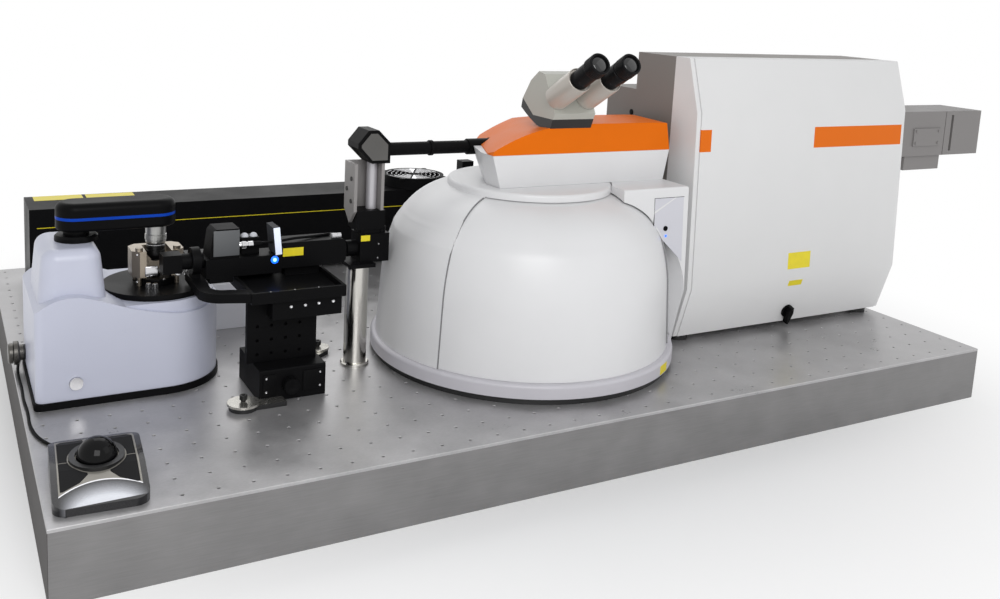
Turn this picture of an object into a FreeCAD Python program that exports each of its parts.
import FreeCAD, Part
import math
import os
import Sketcher

# A micro-Raman spectrometer coupled to an atomic force microscope, on one honeycomb optical table.
# Frame: origin at the centre of the table's underside, +X to the right along the front edge,
# +Y to the back, +Z up. All lengths are in millimetres. Each station on the table has an x and y
# place, and its heights are counted from the table top.

SIZES = {
    # optical table
    "table_length": 1850, "table_width": 1250, "table_height": 110, "table_skin": 5,
    "table_wall": 5, "hole_pitch": 50, "hole_margin": 25, "tap_radius": 2.5,
    "core_rib": 2, "core_gap": 1.5, "bolt_steps": 3,
    # atomic force microscope: axis of the sample, footprint, tower and deck
    "afm_x": -698, "afm_y": -140, "afm_nose_radius": 108, "afm_left": 210, "afm_back": 140,
    "afm_back_corner": 60, "afm_front_corner": 12, "afm_base_height": 12, "skirt_inset": 3,
    "drum_inset": 10, "wave_left": 158, "wave_peak": 184, "wave_low": 147,
    "wave_peak_offset": 142, "drum_height": 160, "deck_radius": 91, "deck_thickness": 10,
    "tower_left": 200, "tower_right": 92, "tower_front": 86, "tower_back": 85,
    "tower_height": 256, "tower_taper": 9, "tower_corner": 26, "tower_round": 20,
    "column_offset": 131, "collar_radius": 35, "collar_height": 10, "column_radius": 21,
    "column_fit": 0.05, "column_reach": 48, "arm_radius": 33, "arm_bottom": 274,
    "arm_height": 48, "arm_round": 13, "arm_foot_round": 6, "arm_bore_depth": 40,
    "lens_radius": 17.5, "lens_knurl_radius": 18.6, "lens_knurl_height": 10,
    "lens_length": 66, "objective_radius": 15.5, "objective_length": 31,
    "objective_nose_radius": 8,
    "scanner_radius": 34, "scanner_height": 11, "puck_radius": 7.5, "puck_height": 3,
    "head_width": 88, "head_depth": 62, "head_bottom": 186, "head_top": 232,
    "head_leg_back": 9.5, "head_bay_width": 42, "head_bay_depth": 50, "head_chamfer": 12, "leg_radius": 4,
    "knob_radius": 21, "knob_width": 18, "knob_back_offset": 100, "knob_height": 30,
    "knob_gap": 10, "knob_groove": 3, "knob_neck_radius": 14, "shaft_radius": 4, "shaft_fit": 0.05,
    "shaft_depth": 14,
    "button_radius": 10.5, "button_fit": 0.4, "button_depth": 12, "button_proud": 4,
    "button_offset": 146, "button_height": 40,
    # coupling stage in front of the optical line
    "stage_left": -567, "stage_width": 117, "stage_front": -342, "stage_depth": 127,
    "stage_height": 56, "stage_bevel": 2, "ram_radius": 10, "ram_fit": 0.05,
    "ram_depth": 30, "jack_knob_x": -515, "jack_knob_z": 28, "jack_knob_radius": 14,
    "jack_knob_width": 18, "plate_thickness": 10, "plate_width": 124, "plate_left": -578,
    "plate_setback": 42, "seat_gap": 0.3, "plate_hole_radius": 3, "plate_hole_pitch": 25,
    "tray_left": -582, "tray_width": 167, "tray_front": -340, "tray_depth": 160,
    "tray_top": 192, "tray_thickness": 20, "tray_pocket": 10, "tray_rim": 6,
    "bracket_left": -543, "bracket_height": 34, "bracket_depth": 29.7,
    "reach_bottom": 176, "reach_width": 26, "reach_x": -654, "reach_end_y": -170,
    "reach_turn_x": -632,
    # optical line from the microscope's side to the periscope
    "line_y": -208, "line_height": 220, "fold_box": 32, "fold_box_left": -702,
    "side_tube_radius": 14, "side_ring_radius": 24, "side_ring_width": 15,
    "side_ring_left": -653, "coupler_left": -632, "coupler_right": -498,
    "coupler_front": -234, "coupler_depth": 52, "coupler_bottom": 192.3, "coupler_top": 226,
    "coupler_drop": 9, "camera_width": 46, "camera_height": 52, "camera_left": -620,
    "plug_block_left": -566, "plug_block_width": 32, "plug_block_height": 30,
    "dome_radius": 7, "board_left": -512, "board_thickness": 11, "board_depth": 44,
    "board_height": 50, "board_lean": 6, "lead_radius": 2.5,
    "beam_box_left": -498, "beam_box_right": -376, "beam_box_bottom": 199,
    "beam_box_top": 246, "beam_box_depth": 50, "beam_box_chamfer": 7,
    # post and periscope
    "post_x": -350, "post_y": -225, "post_radius": 21.5, "post_height": 190,
    "flange_radius": 27, "flange_height": 6, "foot_plate_thickness": 6,
    "foot_plate_left": -372, "foot_plate_width": 50, "foot_plate_front": -247, "cube_left": -348, "cube_width": 58,
    "cube_depth": 47, "cube_height": 54, "collar_block_left": -357, "collar_block_width": 57,
    "collar_block_height": 44, "neck_height": 9, "joint_tube_radius": 15,
    "joint_tube_length": 20,
    "column_left": -362, "column_width": 58, "column_depth": 50, "column_wall": 6,
    "column_top": 383, "column_point": 24, "riser_tube_x": -320, "riser_tube_radius": 10,
    "mirror_x": -327, "mirror_width": 64, "mirror_height": 62, "mirror_depth": 54,
    "mirror_centre": 416, "mirror_cut": 24, "mirror_plate": 2,
    "beam_height": 405, "beam_radius": 12.5, "beam_bore": 10, "beam_end": -112,
    "beam_ring_x": -204, "beam_ring_radius": 14.8, "beam_ring_width": 6,
    "sleeve_radius": 15.5, "sleeve_fit": 0.05, "sleeve_left": -122, "sleeve_right": -52,
    "sleeve_port_gap": 1,
    # small controller behind the stage
    "controller_left": -600, "controller_width": 180, "controller_front": 40,
    "controller_depth": 160, "controller_height": 96, "unit_height": 38, "unit_inset": 18,
    # enclosure round the Raman microscope
    "dome_x": -3, "dome_y": -255, "foot_radius": 296, "foot_height": 12, "rim_radius": 303,
    "rim_height": 37, "rim_inner": 270, "rim_round": 6, "dome_bottom_radius": 290,
    "dome_waist_radius": 283, "dome_waist": 150, "dome_shoulder_radius": 264,
    "dome_shoulder": 246, "dome_brow_radius": 243, "dome_brow": 276, "dome_top_radius": 156,
    "dome_top": 330, "dome_wall": 2.5, "dome_gap": 0.5, "door_start": 208.5, "door_span": 113,
    "shell_span": 247, "cap_radius": 162, "cap_bottom": 331, "cap_top": 345, "cap_round": 6,
    "fairing_left": 116, "fairing_right": 272, "fairing_brow": -407, "fairing_sill": -428,
    "fairing_back": -100, "fairing_edge": 5, "mouth_left": 120, "mouth_top": 252,
    "mouth_shoulder": 202, "mouth_side": 150, "mouth_top_x": 202, "mouth_shoulder_x": 256,
    "mouth_side_x": 273, "mouth_low_x": 286, "throat_y": -372, "throat_top_x": 231,
    "throat_shoulder_x": 250, "throat_side_x": 259, "throat_low_x": 266,
    "panel_button_x": 218, "panel_button_z": 265, "panel_button_radius": 5,
    "panel_button_depth": 5.6, "panel_button_proud": 2,
    # microscope inside the enclosure
    "stand_width": 80, "stand_depth": 90, "stand_back": -40, "stand_foot_height": 20,
    "stand_foot_reach": 250, "stand_shoulder": 258, "stand_slope": 108, "nose_arm_height": 40, "turret_radius": 34,
    "turret_height": 26, "turret_tilt": 15, "inner_objective_radius": 10,
    "inner_objective_length": 38,
    "sample_stage_width": 220, "sample_stage_depth": 150, "sample_stage_thickness": 12,
    "sample_stage_height": 172, "sample_stage_lug": 34,
    # microscope head above the enclosure
    "hull_top": 409, "hull_right": 268, "hull_front": -332, "hull_back": -112,
    "hull_flare": 11, "hull_nose": -114, "hull_nose_flare": 25, "cover_front_lip": 14,
    "cover_crest": 464, "cover_camber_radius": 675, "cover_camber_y": -275,
    "cover_nose_height": 2, "cover_climb": 37, "cover_rake": 0.41,
    "binocular_left": -13, "binocular_width": 93, "tube_pitch": 68, "tube_angle": 30,
    "tube_start_y": -330, "tube_start_z": 513, "tube_radius": 24, "tube_length": 85,
    "eyepiece_radius": 18.5, "eyepiece_length": 44, "eyecup_radius": 20.5,
    "eyecup_length": 26, "eyecup_hollow": 5,
    # spectrometer
    "spectrometer_left": 305, "spectrometer_width": 615, "side_panel": 11, "chassis_wall": 4,
    "cover_wall": 4, "cover_proud": 2, "cover_rest_gap": 0.5, "front_top_y": -342,
    "front_top_z": 594, "front_brow_y": -378, "front_brow_z": 486, "front_sill_y": -392,
    "front_sill_z": 125, "front_bottom_y": -360, "front_bottom_z": 15,
    "tall_back": -175, "rear_back": -73, "rear_height": 514, "foot_pad_radius": 22,
    "latch_x": 615, "latch_radius": 15, "latch_depth": 12, "latch_wing": 9, "latch_lever": 27,
    "latch_height": 41, "latch_fit": 0.05, "latch_pin_radius": 4,
    "grating_radius": 46, "grating_height": 50, "grating_x": 520, "grating_y": -270,
    "grating_pin_radius": 5, "bench_height": 60, "bench_thickness": 12,
    # cooled detector on the spectrometer's right side
    "detector_front": -355, "detector_depth": 116, "detector_top": 478, "detector_low": 372,
    "detector_block": 176, "detector_head": 128, "detector_groove": 2,
    "detector_box_low": 338, "detector_box_left": 52,
    # laser along the back
    "laser_left": -861, "laser_right": 260, "laser_front": 400, "laser_depth": 140,
    "laser_bottom": 10, "laser_top": 190, "laser_wall": 4, "laser_foot_radius": 12,
    "fan_x": 80, "fan_y": 460, "fan_radius": 80, "fan_bore": 73, "fan_height": 30,
    "fan_hub_radius": 26, "fan_blades": 7, "fan_blade_pitch": 32, "fan_shaft_radius": 4,
    "fan_shaft_fit": 0.05, "guard_bar": 4.4, "shutter_box": 34, "shutter_inset": 5,
    # trackball
    "ball_pad_x": -848, "ball_pad_y": -605, "pad_width": 124, "pad_depth": 174,
    "pad_front_height": 11, "pad_brow_height": 30, "pad_back_height": 36,
    "pad_corner": 20, "ball_radius": 27.5, "ball_gap": 0.5, "ball_lift": 33,
    "ball_forward": 100, "ring_inner": 29.5, "ring_outer": 37.5, "ring_thickness": 5,
    "ring_gap": 0.4, "key_thickness": 3, "key_travel": 2, "key_gap": 0.5, "key_outer": 51,
    "key_front": 33, "key_middle": 93, "key_back": 160, "key_front_inner": 15,
    "key_back_inner": 16, "pad_turn": -3.5,
    # the trackball's lead
    "cord_radius": 2.4, "plug_length": 38, "plug_width": 12, "plug_height": 7,
    "coil_radius": 28, "coil_band": 17, "coil_height": 15, "coil_x": -805, "coil_y": 88,
    "plug_right_of_coil": 20, "plug_before_coil": 41,
}

doc = FreeCAD.newDocument("raman_afm")
sheet = doc.addObject("Spreadsheet::Sheet", "dims")


class Size:
    """A length that knows its value and the sheet expression that gives it."""

    def __init__(self, value, text):
        self.value, self.text = float(value), text

    def joined(self, other, sign, value):
        return Size(value, f"({self.text} {sign} {size(other).text})")

    def __add__(self, other):
        return self.joined(other, "+", self.value + float(other))

    def __sub__(self, other):
        return self.joined(other, "-", self.value - float(other))

    def __mul__(self, other):
        return self.joined(other, "*", self.value * float(other))

    def __truediv__(self, other):
        return self.joined(other, "/", self.value / float(other))

    def __radd__(self, other):
        return size(other) + self

    def __rsub__(self, other):
        return size(other) - self

    def __rmul__(self, other):
        return size(other) * self

    def __neg__(self):
        return 0 - self

    def __float__(self):
        return self.value


def size(number):
    return number if isinstance(number, Size) else Size(number, f"({float(number)!r})")


for row, (name, amount) in enumerate(SIZES.items(), start=1):
    sheet.set(f"A{row}", name)
    sheet.set(f"B{row}", str(amount))
    sheet.setAlias(f"B{row}", name)
doc.recompute()


class Dims:
    """Every driving size of the sheet, read by its alias."""

    def __getattr__(self, name):
        return Size(sheet.get(name), f"dims.{name}")


d = Dims()
top = d.table_height
nodes = []


def node(thing, name):
    """Marks an object of the document as a finished sub-part under its own name."""
    thing.Label = name
    nodes.append(thing)
    return thing


def vec(x, y, z):
    return FreeCAD.Vector(float(x), float(y), float(z))


TURN = {
    "z": FreeCAD.Rotation(),
    "x": FreeCAD.Rotation(FreeCAD.Vector(0, 1, 0), 90),
    "y": FreeCAD.Rotation(FreeCAD.Vector(1, 0, 0), -90),
}


def place(thing, x, y, z, rotation=None):
    thing.Placement = FreeCAD.Placement(vec(x, y, z), rotation or FreeCAD.Rotation())
    for side, where in zip("xyz", (x, y, z)):
        thing.setExpression(f"Placement.Base.{side}", size(where).text)


def slab(name, x, y, z):
    """A box between a low and a high size on each axis."""
    block = doc.addObject("Part::Box", name)
    for side, (low, high) in zip(("Length", "Width", "Height"), (x, y, z)):
        block.setExpression(side, (size(high) - size(low)).text)
    place(block, x[0], y[0], z[0])
    return block


def rod(name, radius, x, y, z, length, axis="z"):
    """A cylinder that starts at x, y, z and runs along an axis."""
    bar = doc.addObject("Part::Cylinder", name)
    bar.setExpression("Radius", size(radius).text)
    bar.setExpression("Height", size(length).text)
    place(bar, x, y, z, TURN[axis])
    return bar


def cone(name, low, high, x, y, z, length, axis="z"):
    taper = doc.addObject("Part::Cone", name)
    taper.setExpression("Radius1", size(low).text)
    taper.setExpression("Radius2", size(high).text)
    taper.setExpression("Height", size(length).text)
    place(taper, x, y, z, TURN[axis])
    return taper


def fuse(name, things):
    whole = doc.addObject("Part::MultiFuse", name)
    whole.Shapes = things
    whole.Refine = True
    return whole


def group(name, things):
    """Separate solids that share one node."""
    together = doc.addObject("Part::Compound", name)
    together.Links = things
    return together


def cut(name, base, tools):
    rest = doc.addObject("Part::Cut", name)
    rest.Base = base
    rest.Tool = tools[0] if len(tools) == 1 else fuse(name + "_tools", tools)
    return rest


def coded(name, shape):
    """A sub-part whose form no primitive gives, with its shape set from the sheet's sizes."""
    feature = doc.addObject("Part::Feature", name)
    feature.Shape = shape
    return feature


def sketch_in(body, plane, points):
    """Closed sketch through points bound to the sheet. A point may hold the radius and the
    side (1 or -1) of an arc that runs from it to the next point."""
    sketch = body.newObject("Sketcher::SketchObject", body.Name + "_profile")
    role = [part for part in body.Origin.OriginFeatures if part.Role == plane][0]
    sketch.AttachmentSupport = [(role, "")]
    sketch.MapMode = "FlatFace"
    flat = [vec(point[0], point[1], 0) for point in points]
    for i, point in enumerate(points):
        start, end = flat[i], flat[(i + 1) % len(points)]
        if len(point) == 2:
            sketch.addGeometry(Part.LineSegment(start, end), False)
            continue
        chord = end - start
        radius, side = float(point[2]), point[3]
        rise = radius - math.sqrt(max(radius ** 2 - (chord.Length / 2) ** 2, 0))
        bulge = FreeCAD.Vector(chord.y, -chord.x, 0).normalize() * rise * side
        sketch.addGeometry(Part.Arc(start, (start + end) * 0.5 + bulge, end), False)
    count = len(points)
    for i, point in enumerate(points):
        forward = sketch.Geometry[i]
        ends = [1, 2]
        if len(point) == 4 and (forward.StartPoint - flat[i]).Length > 1e-6:
            ends = [2, 1]
        following = points[(i + 1) % count]
        next_start = 1
        if len(following) == 4:
            start_point = sketch.Geometry[(i + 1) % count].StartPoint
            if (start_point - flat[(i + 1) % count]).Length > 1e-6:
                next_start = 2
        link = Sketcher.Constraint("Coincident", i, ends[1], (i + 1) % count, next_start)
        sketch.addConstraint(link)
        for kind, axis, where in (("DistanceX", -2, point[0]), ("DistanceY", -1, point[1])):
            if abs(float(where)) < 1e-9:
                sketch.addConstraint(Sketcher.Constraint("PointOnObject", i, ends[0], axis))
                continue
            rule = Sketcher.Constraint(kind, -1, 1, i, ends[0], float(where))
            index = sketch.addConstraint(rule)
            sketch.setExpression(f"Constraints[{index}]", size(where).text)
        if len(point) == 4:
            chord = flat[(i + 1) % count] - flat[i]
            if abs(chord.Length - 2 * float(point[2])) < 1e-6:
                sketch.addConstraint(Sketcher.Constraint("Vertical", i, 3, i, 1))
                continue
            index = sketch.addConstraint(Sketcher.Constraint("Radius", i, float(point[2])))
            sketch.setExpression(f"Constraints[{index}]", size(point[2]).text)
    return sketch


def turned(name, points, x, y, z, axis="z", start=0, span=360):
    """A PartDesign body revolved about its own axis from radius and height points."""
    body = doc.addObject("PartDesign::Body", name)
    sketch = sketch_in(body, "XZ_Plane", points)
    turn = body.newObject("PartDesign::Revolution", name + "_turn")
    turn.Profile = sketch
    turn.ReferenceAxis = (sketch, ["V_Axis"])
    turn.setExpression("Angle", size(span).text)
    rotation = TURN[axis].multiply(FreeCAD.Rotation(FreeCAD.Vector(0, 0, 1), float(start)))
    place(body, x, y, z, rotation)
    return body


def padded(name, plane, points, length, x, y, z):
    """A PartDesign body padded from an outline. On XZ_Plane the pad runs towards +Y."""
    body = doc.addObject("PartDesign::Body", name)
    sketch = sketch_in(body, plane, points)
    pad = body.newObject("PartDesign::Pad", name + "_pad")
    pad.Profile = sketch
    pad.Reversed = plane == "XZ_Plane"
    pad.setExpression("Length", size(length).text)
    place(body, x, y, z)
    return body


def round_edges(body, wanted, radius, kind="PartDesign::Fillet"):
    """Fillets or chamfers the body's edges that the test picks."""
    doc.recompute()
    base = body.Tip
    edges = [f"Edge{i}" for i, edge in enumerate(base.Shape.Edges, start=1) if wanted(edge)]
    dress = body.newObject(kind, f"{body.Name}_round{len(body.Group)}")
    dress.Base = (base, edges)
    dress.setExpression("Radius" if kind.endswith("Fillet") else "Size", size(radius).text)
    body.Tip = dress
    return body


def at_height(edge, z):
    box = edge.BoundBox
    return abs(box.ZMin - float(z)) < 1e-4 and abs(box.ZMax - float(z)) < 1e-4


def upright(edge):
    box = edge.BoundBox
    return box.ZLength > 1 and box.XLength < 1e-4 and box.YLength < 1e-4


def prism(points, low, high):
    """A straight prism between two heights over an outline of lines and, where a point holds
    a second pair, an arc through that pair."""
    edges = []
    for point, following in zip(points, points[1:] + points[:1]):
        start, end = vec(point[0], point[1], low), vec(following[0], following[1], low)
        if len(point) == 4:
            edges.append(Part.Arc(start, vec(point[2], point[3], low), end).toShape())
        else:
            edges.append(Part.LineSegment(start, end).toShape())
    face = Part.Face(Part.Wire(edges))
    return face.extrude(vec(0, 0, float(high) - float(low)))


def build_table():
    half_length, half_width = d.table_length / 2, d.table_width / 2
    skin = slab("top_sheet", (-half_length, half_length), (-half_width, half_width),
                (top - d.table_skin, top))
    reach_x = half_length - d.hole_margin - d.hole_pitch * d.bolt_steps
    reach_y = half_width - d.hole_margin
    holes = [rod(f"corner_hole_{i}", d.tap_radius, x, y, top - d.table_skin - 1,
                 d.table_skin + 2)
             for i, (x, y) in enumerate([(-reach_x, -reach_y), (reach_x, -reach_y),
                                         (-reach_x, reach_y), (reach_x, reach_y)])]
    node(cut("drilled_sheet", skin, holes), "table_top_skin")
    outer = slab("body_block", (-half_length, half_length), (-half_width, half_width),
                 (0, top - d.table_skin))
    inner_x, inner_y = half_length - d.table_wall, half_width - d.table_wall
    cells = []
    columns, rows = 5, 4
    step_x = (inner_x * 2 - d.core_rib * (columns - 1)) / columns
    step_y = (inner_y * 2 - d.core_rib * (rows - 1)) / rows
    for i in range(columns):
        for j in range(rows):
            x = -inner_x + (step_x + d.core_rib) * i
            y = -inner_y + (step_y + d.core_rib) * j
            cells.append(slab(f"cell_{i}_{j}", (x, x + step_x), (y, y + step_y),
                              (d.table_skin, top - d.table_skin - d.core_gap)))
    node(cut("ribbed_body", outer, cells), "table_body")


def afm_outline(inset):
    """Footprint of the force microscope: flat left side and a round right nose."""
    x, y, r = float(d.afm_x), float(d.afm_y), float(d.afm_nose_radius) - inset
    left, back = x - float(d.afm_left) + inset, y + float(d.afm_back) - inset
    big, small = float(d.afm_back_corner) - inset, float(d.afm_front_corner)
    diagonal = math.sqrt(0.5)
    return [(left + small, y - r), (x, y - r, x + r * diagonal, y - r * diagonal),
            (x + r, y), (x + r, back - big, x + r - big * (1 - diagonal),
                         back - big * (1 - diagonal)),
            (x + r - big, back), (left + small, back, left + small * (1 - diagonal),
                                  back - small * (1 - diagonal)),
            (left, back - small), (left, y - r + small, left + small * (1 - diagonal),
                                   y - r + small * (1 - diagonal))]


def rounded_section(left, right, front, back, corner, z):
    """Closed wire of a rectangle with round corners at one height."""
    diagonal = corner * (1 - math.sqrt(0.5))
    corners = [(left + corner, front), (right - corner, front, right - diagonal,
                                        front + diagonal),
               (right, front + corner), (right, back - corner, right - diagonal,
                                         back - diagonal),
               (right - corner, back), (left + corner, back, left + diagonal,
                                        back - diagonal),
               (left, back - corner), (left, front + corner, left + diagonal,
                                       front + diagonal)]
    edges = []
    for point, following in zip(corners, corners[1:] + corners[:1]):
        start, end = vec(point[0], point[1], z), vec(following[0], following[1], z)
        if len(point) == 4:
            edges.append(Part.Arc(start, vec(point[2], point[3], z), end).toShape())
        else:
            edges.append(Part.LineSegment(start, end).toShape())
    return Part.Wire(edges)


def build_afm_housing():
    """Moulded housing: a skirt with a wave along its top, the drum and the tower inside it."""
    x, y, z0 = float(d.afm_x), float(d.afm_y), float(top)
    low = z0 + float(d.afm_base_height)
    left, right = x - float(d.afm_left), x + float(d.afm_nose_radius)
    wave_points = [vec(left - 1, 0, z0 + float(d.wave_left)),
                   vec(x - float(d.wave_peak_offset), 0, z0 + float(d.wave_peak)),
                   vec(x - float(d.wave_peak_offset) / 2, 0,
                       z0 + (float(d.wave_peak) + float(d.wave_low)) / 2 - 4),
                   vec(x - 20, 0, z0 + float(d.wave_low)),
                   vec(right + 1, 0, z0 + float(d.wave_low))]
    wave = Part.BSplineCurve()
    wave.interpolate(wave_points)
    ends = [wave_points[-1], vec(right + 1, 0, low), vec(left - 1, 0, low), wave_points[0]]
    sides = [Part.LineSegment(a, b).toShape() for a, b in zip(ends, ends[1:])]
    under_wave = Part.Face(Part.Wire([wave.toShape()] + sides))
    under_wave.translate(vec(0, y - 300, 0))
    under_wave = under_wave.extrude(vec(0, 600, 0))
    skirt = prism(afm_outline(float(d.skirt_inset)), low, z0 + float(d.wave_peak) + 5)
    skirt = skirt.common(under_wave)
    drum = prism(afm_outline(float(d.drum_inset)), low, z0 + float(d.drum_height))
    shrink = float(d.tower_taper)
    sections = []
    for inset, height in ((0, low), (0, z0 + float(d.drum_height)),
                          (shrink, z0 + float(d.tower_height))):
        sections.append(rounded_section(x - float(d.tower_left) + inset,
                                        x - float(d.tower_right) - inset,
                                        y - float(d.tower_front) + inset,
                                        y + float(d.tower_back) - inset,
                                        float(d.tower_corner), height))
    tower = Part.makeLoft(sections[1:], True, True)
    crown = [edge for edge in tower.Edges if at_height(edge, z0 + float(d.tower_height))]
    tower = tower.makeFillet(float(d.tower_round), crown)
    root = Part.makeLoft(sections[:2], True, True)
    housing = skirt.fuse([drum, tower, root]).removeSplitter()
    bores = [Part.makeCylinder(float(d.button_radius + d.button_fit),
                               float(d.button_depth) + 20,
                               vec(x - float(d.button_offset),
                                   y - float(d.afm_nose_radius) - 8,
                                   z0 + float(d.button_height)), vec(0, 1, 0)),
             Part.makeCylinder(float(d.shaft_radius + d.shaft_fit),
                               float(d.shaft_depth) + 20,
                               vec(left - 4, y + float(d.knob_back_offset),
                                   z0 + float(d.knob_height)), vec(1, 0, 0))]
    well = Part.makeCylinder(float(d.deck_radius + d.button_fit), 60,
                             vec(x, y, z0 + float(d.drum_height)))
    node(coded("afm_housing_shape", housing.cut(bores + [well])), "afm_housing")


def build_afm():
    x, y = d.afm_x, d.afm_y
    base = prism(afm_outline(0), top, top + d.afm_base_height)
    node(coded("afm_base_shape", base), "afm_base")
    build_afm_housing()
    deck_bottom = top + d.drum_height
    node(rod("deck_disc", d.deck_radius, x, y, deck_bottom, d.deck_thickness), "afm_deck")
    deck_top = deck_bottom + d.deck_thickness
    collar_base = top + d.tower_height
    column = turned("afm_column_body", [
        (0, 0), (d.collar_radius, 0), (d.collar_radius, d.collar_height - 3),
        (d.collar_radius - 3, d.collar_height), (d.column_radius, d.collar_height),
        (d.column_radius, d.column_reach), (0, d.column_reach)],
        x - d.column_offset, y, collar_base)
    node(column, "afm_column")
    arm = padded("afm_arm_body", "XY_Plane", [
        (-d.column_offset, -d.arm_radius), (0, -d.arm_radius, d.arm_radius, 1),
        (0, d.arm_radius), (-d.column_offset, d.arm_radius, d.arm_radius, 1)],
        d.arm_height, x, y, top + d.arm_bottom)
    round_edges(arm, lambda edge: at_height(edge, d.arm_height), d.arm_round)
    round_edges(arm, lambda edge: at_height(edge, 0), d.arm_foot_round)
    arm_bore = rod("arm_bore", d.column_radius + d.column_fit, x - d.column_offset, y,
                   top + d.arm_bottom - 1, d.arm_bore_depth + 1)
    node(cut("bored_arm", arm, [arm_bore]), "afm_arm")
    shoulder = d.lens_length - d.objective_length
    lens = turned("afm_lens_body", [
        (0, -d.lens_length), (d.objective_nose_radius, -d.lens_length),
        (d.objective_radius, -d.lens_length + 12), (d.objective_radius, -shoulder),
        (d.lens_knurl_radius, -shoulder), (d.lens_knurl_radius, -shoulder
                                           + d.lens_knurl_height),
        (d.lens_radius, -shoulder + d.lens_knurl_height), (d.lens_radius, 0), (0, 0)],
        x, y, top + d.arm_bottom)
    node(lens, "afm_zoom_lens")
    scanner = turned("scanner_body", [
        (0, 0), (d.scanner_radius, 0), (d.scanner_radius, d.scanner_height - 2),
        (d.scanner_radius - 2, d.scanner_height), (d.puck_radius, d.scanner_height),
        (d.puck_radius, d.scanner_height + d.puck_height),
        (0, d.scanner_height + d.puck_height)], x, y, deck_top)
    node(scanner, "afm_scanner")
    build_scan_head(deck_top)
    node(build_side_knob(), "afm_side_knob")
    front = y - d.afm_nose_radius + d.skirt_inset
    button = rod("front_button_body", d.button_radius, x - d.button_offset,
                 front - d.button_proud, top + d.button_height,
                 d.button_depth + d.button_proud - 4, "y")
    node(button, "afm_front_button")


def build_scan_head(deck_top):
    """Scan head: a chamfered block with a bay for the lens, on three screw legs."""
    x, y = d.afm_x, d.afm_y
    half = d.head_width / 2
    front, back = y - d.head_depth / 2, y + d.head_depth / 2
    c = d.head_chamfer
    outline = [(-half, c), (-half + c, 0), (-d.head_bay_width / 2, 0),
               (-d.head_bay_width / 2, d.head_bay_depth),
               (d.head_bay_width / 2, d.head_bay_depth), (d.head_bay_width / 2, 0),
               (half - c, 0), (half, c), (half, d.head_depth - c),
               (half - c, d.head_depth), (-half + c, d.head_depth),
               (-half, d.head_depth - c)]
    block = padded("scan_block", "XY_Plane", outline, d.head_top - d.head_bottom, x, front,
                   top + d.head_bottom)
    leg_in = half - 12
    legs = [rod(f"scan_leg_{i}", d.leg_radius, place_x, place_y, deck_top,
                top + d.head_bottom - deck_top + 2)
            for i, (place_x, place_y) in enumerate([(x - leg_in, front + d.head_leg_back),
                                                    (x + leg_in, front + d.head_leg_back),
                                                    (x + leg_in, back - 10),
                                                    (x - leg_in, back - 10)])]
    lugs = [rod(f"scan_screw_{i}", d.leg_radius + 2.5, place_x, front + d.head_leg_back,
                top + d.head_top - 1, 7)
            for i, place_x in enumerate([x - leg_in, x + leg_in])]
    node(fuse("scan_head_body", [block] + legs + lugs), "afm_scan_head")


def build_side_knob():
    left = d.afm_x - d.afm_left + d.skirt_inset
    reach = d.knob_gap + d.knob_width
    knob = turned("side_knob_body", [
        (0, 0), (d.knob_radius - 5, 0), (d.knob_radius - 3, 2),
        (d.knob_radius - 3, d.knob_width / 2 - 1), (d.knob_radius - d.knob_groove - 3,
                                                    d.knob_width / 2 - 1),
        (d.knob_radius - d.knob_groove - 3, d.knob_width / 2), (d.knob_radius,
                                                                d.knob_width / 2),
        (d.knob_radius, d.knob_width - 2), (d.knob_radius - 2, d.knob_width),
        (d.knob_neck_radius, d.knob_width),
        (d.knob_neck_radius, reach - 0.5), (d.shaft_radius, reach - 0.5),
        (d.shaft_radius, reach + d.shaft_depth), (0, reach + d.shaft_depth)],
        left - reach, d.afm_y + d.knob_back_offset, top + d.knob_height, "x")
    return knob


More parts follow.
